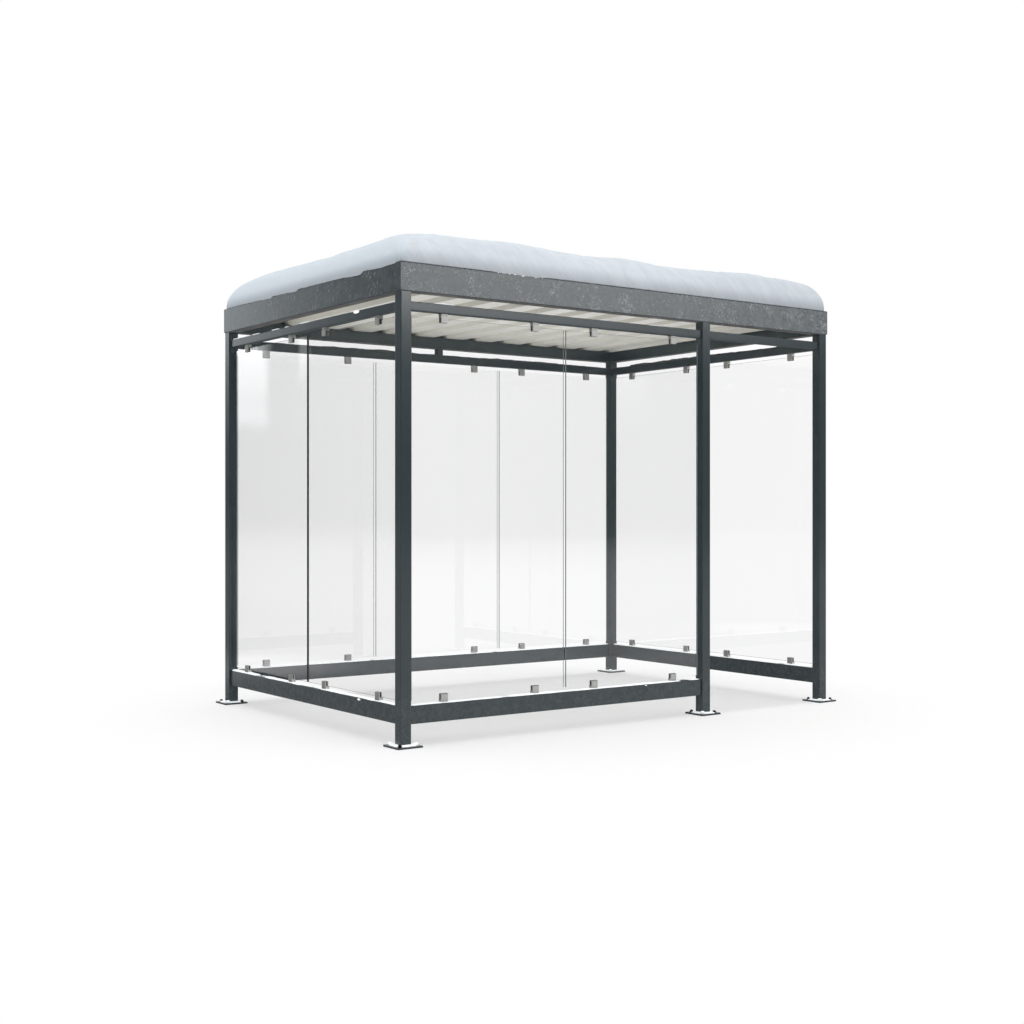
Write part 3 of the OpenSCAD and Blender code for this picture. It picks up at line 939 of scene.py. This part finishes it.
def plate_snow(plate, seed):
    """A crust of snow on a base plate, around its post and its bare nuts and over the others."""
    low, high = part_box(plate)
    half, lift = (high.x - low.x) / 2, high.z + REST_GAP
    cx, cy = (low.x + high.x) / 2, (low.y + high.y) / 2
    count = round(2 * half / CRUST_STEP)
    tops = {}
    for i in range(count + 1):
        for j in range(count + 1):
            x, y = -half + 2 * half * i / count, -half + 2 * half * j / count
            h = crust_height(x, y, half, cx, cy, BARE_NUTS[plate], seed)
            if h > 0.2 * MM:
                tops[i, j] = (cx + x, cy + y, lift + h)
    body, index = Body(), {}

    def number(key, top):
        """The index of the point over or under this grid place, which is added once."""
        if (key, top) not in index:
            x, y, z = tops[key]
            index[key, top] = len(body.points)
            body.points.append((x, y, z if top else lift))
        return index[key, top]

    def corners(i, j):
        return ((i, j), (i + 1, j), (i + 1, j + 1), (i, j + 1))

    kept = {(i, j) for i, j in tops if all(corner in tops for corner in corners(i, j))}
    for i, j in sorted(kept):
        ring = corners(i, j)
        body.faces.append(tuple(number(k, True) for k in ring))
        body.faces.append(tuple(number(k, False) for k in reversed(ring)))
        beside = ((i, j - 1), (i + 1, j), (i, j + 1), (i - 1, j))
        for a, b, other in zip(ring, ring[1:] + ring[:1], beside):
            if other not in kept:
                body.faces.append((number(a, False), number(b, False), number(b, True), number(a, True)))
    body.piece(f"snow_{plate}", THIN_SNOW, "snow")


for order, plate in enumerate(PLATES):
    plate_snow(plate, 3.0 * order)


CLOD_ROWS = 6
CLOD_AROUND = 14


def clod(body, centre, out, wide, tall, seed):
    """Adds a small lump of snow stuck to an upright face, as rows that close in to a tip."""
    side = rightwards(out)

    def point(row, k):
        angle = pi / 2 * row / CLOD_ROWS
        turn = 2 * pi * k / CLOD_AROUND
        wobble = 1 + 0.3 * ripple(cos(turn), sin(turn) + seed, row * 0.2, 0.9, 2)
        return (
            centre
            + out * (REST_GAP + 0.4 * tall * sin(angle) * wobble)
            + side * (wide / 2 * cos(angle) * wobble * cos(turn))
            + Vector((0, 0, tall / 2 * cos(angle) * wobble * sin(turn)))
        )

    first = body.loft([[point(row, k) for k in range(CLOD_AROUND)] for row in range(CLOD_ROWS)])
    tip = len(body.points)
    body.points.append(point(CLOD_ROWS, 0))
    last = tip - CLOD_AROUND
    body.faces.extend((last + k, last + (k + 1) % CLOD_AROUND, tip) for k in range(CLOD_AROUND))
    body.cap(first, CLOD_AROUND, turned=True)


# Lumps on the outer faces of rails: place along the rail and height above the floor in metres, and
# the lump's width and height in mm
CLODS = (
    ("top_rail_left", -0.622, 2.388, 64, 18),
    ("bottom_rail_left", -0.649, 0.210, 32, 12),
    ("bottom_rail_front", 0.079, 0.214, 17, 5),
    ("bottom_rail_right", -0.35, 0.195, 22, 12),
    ("bottom_rail_back", 0.32, 0.202, 24, 12),
)
# Crumbs along the front fascia: how many, the first one's place and the length that they take up
CRUMBS = 13
CRUMBS_START = -1.02
CRUMBS_LENGTH = 0.31
# The number of the crumb about which they are largest
CRUMBS_PEAK = 7


def snow_clods():
    body = Body()
    for rail, along, up, wide, tall in CLODS:
        out = outwards(rail)
        at = face_at(rail) + Vector((abs(out.y) * along, abs(out.x) * along, up))
        clod(body, at, out, wide * MM, tall * MM, len(body.points) * 0.1)
    body.piece("snow_clods", THIN_SNOW, "snow")


def rim_crumbs():
    """Crumbs left on the front fascia where the rim of the snow has broken away."""
    body, out, face = Body(), outwards("fascia_front"), face_at("fascia_front").y
    for k in range(CRUMBS):
        step = (k + 0.9 * ripple(k, 0.3, 0.7, 1.7, 2)) / (CRUMBS - 1)
        peak = 1 - abs(k - CRUMBS_PEAK) / CRUMBS_PEAK
        down = (3 + 10 * peak * abs(ripple(k, 2.3, 0.1, 1.3, 2) + 0.3)) * MM
        wide = (5 + 8 * abs(ripple(k, 5.1, 0.4, 1.1, 2)) + 9 * peak * (k % 3 == 1)) * MM
        at = Vector((CRUMBS_START + CRUMBS_LENGTH * step, face, SNOW_FOOT - down))
        clod(body, at, out, wide, 0.45 * wide, 3.1 * k)
    body.piece("snow_crumbs", THIN_SNOW, "snow")


rim_crumbs()
snow_clods()


# ------ small fasteners

# Turned outlines, as radius and height over the steel in mm
SCREW_HEAD = ((3.4, 0.1), (3.4, 1.2), (3.0, 1.6), (1.7, 1.6), (1.6, 0.7))
WASHER = ((6.8, 0.0), (11.0, 0.0), (11.0, 1.6), (10.5, 2.1), (6.8, 2.1))
NUT = ((8.1, 2.1), (9.0, 2.7), (9.0, 10.9), (8.1, 11.5), (6.2, 11.5), (6.2, 11.1))
STUD_FOOT = ((5.2, -9.5), (5.9, -9.0), (5.9, 11.2))
# The stud's thread over the nut, in mm: where it starts, its pitch, root and crest, and the middle
# height of the studs' tops
THREAD_START, THREAD_PITCH, THREAD_ROOT, THREAD_CREST, STUD_TOP = 11.7, 1.5, 5.3, 5.9, 14.6
# The screws' distance from a clamp's foot and top, and from its middle line
SCREW_INSET = 10 * MM
SCREW_SHIFT = 9.5 * MM
# A gap between two clamps is wider than this
CLAMP_GAP = 60 * MM


def lathe(body, centre, axis, side, profile, around, shape=None):
    """Adds a turned solid: profile lists radius and height in mm, and shape may bend a row out of
    round."""
    up = axis.cross(side)
    rows = []
    for row, (radius, height) in enumerate(profile):
        ring = []
        for k in range(around):
            turn = 2 * pi * k / around
            r = radius * MM * (shape(row, turn) if shape else 1)
            ring.append(centre + axis * (height * MM) + (side * cos(turn) + up * sin(turn)) * r)
        rows.append(ring)
    body.solid(rows)


def hexagon(turn):
    """How far a hexagon of inner radius 1 reaches at this angle."""
    return 1 / cos((turn + pi / 6) % (pi / 3) - pi / 6)


def socket_shape(row, turn):
    """The last two rows of a screw's head are its hexagonal socket."""
    return hexagon(turn) if row > 2 else 1


def nut_shape(row, turn):
    """The nut's middle rows are hexagons, its chamfered ends nearly round."""
    if row in (1, 2):
        return hexagon(turn)
    return (1 + hexagon(turn)) / 2 if row in (0, 3) else 1


def clamp_places(clamps, side):
    """Where the clamps of a wall stand along it: their vertices fall into groups with wide gaps."""
    places, group = [], []
    for value in sorted({round(v.co @ side, 4) for v in nodes[clamps].data.vertices}):
        if group and value - group[-1] > CLAMP_GAP:
            places.append((group[0] + group[-1]) / 2)
            group = []
        group.append(value)
    return places + [(group[0] + group[-1]) / 2]


def clamp_screws(wall):
    """Two small cap screws near the foot and the top of the wall's clamps, on their outer face."""
    clamps = f"clamps_{wall}"
    low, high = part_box(clamps)
    out, face, body = outwards(clamps), face_at(clamps), Body()
    side = rightwards(out)
    for place in clamp_places(clamps, side):
        for level in (low.z + SCREW_INSET, high.z - SCREW_INSET):
            for shift in (-SCREW_SHIFT, SCREW_SHIFT):
                centre = face + side * (place + shift) + Vector((0, 0, level))
                lathe(body, centre, out, side, SCREW_HEAD, 24, socket_shape)
    body.piece(f"screws_{wall}", SCREW, "frame_steel", smooth=False)


for wall in ("front", "back", "left", "right"):
    clamp_screws(wall)


def stud(top):
    """The outline of a stud with a thread over its nut, up to this height."""
    outline = list(STUD_FOOT)
    level = THREAD_START
    while level < top - 1.2:
        outline += [(THREAD_ROOT, level), (THREAD_CREST, level + 0.45), (THREAD_CREST, level + 0.85)]
        level += THREAD_PITCH
    return outline + [(5.6, top - 0.6), (4.9, top)]


def anchors():
    """Studs, nuts and washers in the holes of the base plates, each turned its own way."""
    body, up = Body(), Vector((0, 0, 1))
    for number, plate in enumerate(PLATES):
        low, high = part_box(plate)
        middle = (low + high) / 2
        for i, (dx, dy) in enumerate(NUT_SPOTS):
            centre = Vector((middle.x + dx * ANCHOR_REACH, middle.y + dy * ANCHOR_REACH, high.z + 0.1 * MM))
            turn = 0.4 + 1.1 * i + 0.7 * number
            side = Vector((cos(turn), sin(turn), 0))
            lathe(body, centre, up, side, WASHER, 32)
            lathe(body, centre, up, side, NUT, 48, nut_shape)
            top = STUD_TOP + 0.9 * sin(3.7 * i + number)
            lathe(body, centre, up, side, stud(top), 24)
    body.piece("anchor_bolts", BOLT, "frame_steel", smooth=False)


anchors()


# ------ floor, light and camera

# How far from the shelter's middle the floor that the camera sees starts to pale, and is white
FLOOR_PALES = (1.7, 3.1)
# A pale spot that the back of the frame mirrors, on the floor at the back left
PALE_SPOT = (-2.6, 3.2, 0)
FLOOR_HALF = 300.0
FLOOR_DROP = 0.2 * MM
# What steel and glass mirror at the back. A mirrored direction's X + SLANT * Y runs across the back
# wall and its Z runs up it. Each pair of values is a range over which an edge fades in.
SLANT = 0.488
WALL_BEGINS = (0, 0.3)
WINDOW_SIDE, WINDOW_FOOT = (0.0, 0.008), (0.054, 0.068)
GLARE_FOOT, GLARE_TOP = (0.078, 0.108), (0.125, 0.115)
SLIT_LEFT, SLIT_RIGHT, SLIT_FOOT = (-0.028, -0.024), (-0.018, -0.021), (0.084, 0.105)
SKY_LEFT, SKY_RIGHT, SKY_FOOT = (-0.290, -0.280), (-0.235, -0.255), (0.052, 0.095)
# The lamps stand this far off, and their elevations are seen from the height of the top rails
LAMP_DISTANCE = 60.0
LAMP_EYE = 2.3
# Where the photograph was taken from, which way, and with which lens
CAMERA_PLACE = (-5.6049, -7.6863, 1.2566)
CAMERA_HEADING = 35.5
CAMERA_LENS = 50.31
CAMERA_SHIFT = 0.0009


def floor_light(s, x, y):
    """The floor as a light: under the roof it throws up as much as around it, most at the back."""
    inwards = s.band(y, (-0.55, 0.0), (0.95, 0.6))
    under = s.times(s.span(s.magnitude(x), 1.35, 0.8), inwards)
    return s.both(s.matt(0.86), s.light(s.times(under, 1.75)))


def floor_mirrored(s, x, y, away):
    """What steel and glass mirror of the floor: pale in front, greyer behind, and dim far off."""
    front = s.span(away, 15, 70, 0.81, 0.12)
    spot = s.node("VectorMath", {0: s.where, 1: PALE_SPOT}, operation="DISTANCE").outputs["Value"]
    back = s.fade(spot, 0.4, 1.3, 0.8, 0.36)
    # the roof's underside mirrors the pale floor far behind on the right
    beyond = s.times(s.span(x, 2.5, 3.5), s.span(y, 0.0, 1.0))
    back = s.times(s.most(back, beyond), s.fade(away, 25, 150, 1.0, 0.36))
    return s.blend(s.span(y, -1.5, -1.0), s.light(front), s.light(back))


def floor():
    s = material("studio_floor")
    x, y, _ = s.axes()
    away = s.node("VectorMath", {0: s.where}, operation="LENGTH").outputs["Value"]
    unseen = s.blend(s.mirrored(), floor_light(s, x, y), floor_mirrored(s, x, y, away))
    # the camera sees it paler, and white away from the shelter, with the shelter's shadow on it
    shaded = s.both(s.matt(0.61), s.light(0.39))
    seen = s.blend(s.fade(away, *FLOOR_PALES), shaded, s.light(1.0))
    finish = s.finished(s.blend(s.seen_directly(), unseen, seen))
    corners = [(a * FLOOR_HALF, b * FLOOR_HALF, 0) for a, b in ((-1, -1), (1, -1), (1, 1), (-1, 1))]
    body = Body()
    body.points, body.faces = corners, [(0, 1, 2, 3)]
    plane = body.made("studio_floor", finish)
    plane.location.z = -FLOOR_DROP


def room(s):
    """How bright the room is that steel and glass mirror: dim, with a pale window at the back left
    that glares near its top, a narrow slit beside it, and on the right a patch of sky over trees."""
    x, y, up = s.axes()
    dim = s.span(s.noise(5, 3, 0.6), 0.3, 0.7, 0.10, 0.14)
    ragged = s.times(s.calc("SUBTRACT", s.noise(26, 3, 0.6), 0.5), 0.012)
    across = s.plus(x, s.times(y, SLANT), ragged)
    level = s.plus(up, s.times(ragged, 0.8))
    behind = s.span(y, *WALL_BEGINS)
    window = s.times(s.fade(across, *WINDOW_SIDE), behind)
    window = s.times(window, s.fade(level, *WINDOW_FOOT, 0.0, 0.75))
    glare = s.times(window, s.band(level, GLARE_FOOT, GLARE_TOP))
    slit = s.times(s.band(across, SLIT_LEFT, SLIT_RIGHT), behind, s.span(level, *SLIT_FOOT, 0.0, 0.8))
    trees = s.plus(across, s.times(ragged, 1.6))
    sky = s.times(s.span(trees, *SKY_LEFT), s.span(across, *SKY_RIGHT), behind)
    sky = s.times(sky, s.fade(level, *SKY_FOOT, 0.0, 0.45))
    return s.plus(dim, s.times(s.plus(window, glare, slit, sky), 0.85))


def world():
    s = Shader(bpy.data.worlds.new("studio"), "OutputWorld", "Generated")
    ambient = s.light(s.span(s.axes()["Z"], 0, 1, 0.3, 1.05))
    unseen = s.blend(s.mirrored(), ambient, s.light(room(s), (0.94, 0.98, 1)))
    scene.world = s.finished(s.blend(s.seen_directly(), unseen, s.light(1.0)))


def new_lamp(name, kind, **settings):
    data = bpy.data.lights.new(name, kind)
    for key, value in settings.items():
        setattr(data, key, value)
    return placed(name, data)


def far_lamp(name, azimuths, elevations, radiance, colour=(1, 1, 1)):
    """An area lamp that fills these angles as seen from the shelter: degrees from -Y towards +X,
    and degrees above the horizon."""
    middle = radians(sum(azimuths) / 2)
    low, high = (LAMP_EYE + LAMP_DISTANCE * tan(radians(angle)) for angle in elevations)
    wide = 2 * LAMP_DISTANCE * tan(radians(azimuths[1] - azimuths[0]) / 2)
    energy = radiance * pi * wide * (high - low)
    size = {"shape": "RECTANGLE", "size": wide, "size_y": high - low}
    lamp = new_lamp(name, "AREA", **size, energy=energy, color=colour)
    towards = Vector((sin(middle), -cos(middle), 0))
    lamp.location = towards * LAMP_DISTANCE + Vector((0, 0, (low + high) / 2))
    lamp.rotation_euler = (-towards).to_track_quat("-Z", "Y").to_euler()
    lamp.visible_camera = False
    lamp.visible_transmission = False


def high_sun():
    lamp = new_lamp("overhead", "SUN", energy=0.63, angle=radians(3))
    lamp.location = (0, 0, 5)
    lamp.visible_glossy = False


def camera():
    data = bpy.data.cameras.new("camera")
    data.lens = CAMERA_LENS
    data.sensor_width = 36
    data.shift_y = CAMERA_SHIFT
    data.clip_end = 1000
    made = placed("camera", data)
    made.location = CAMERA_PLACE
    made.rotation_euler = (radians(90), 0, radians(-CAMERA_HEADING))
    scene.camera = made


floor()
world()
far_lamp("softbox_front_right", (18, 48), (8.4, 14), 6.6)
far_lamp("softbox_back_left", (175, 206.5), (6.2, 12), 1.74, (0.92, 0.965, 1.0))
high_sun()
camera()

scene.view_settings.view_transform = "Standard"
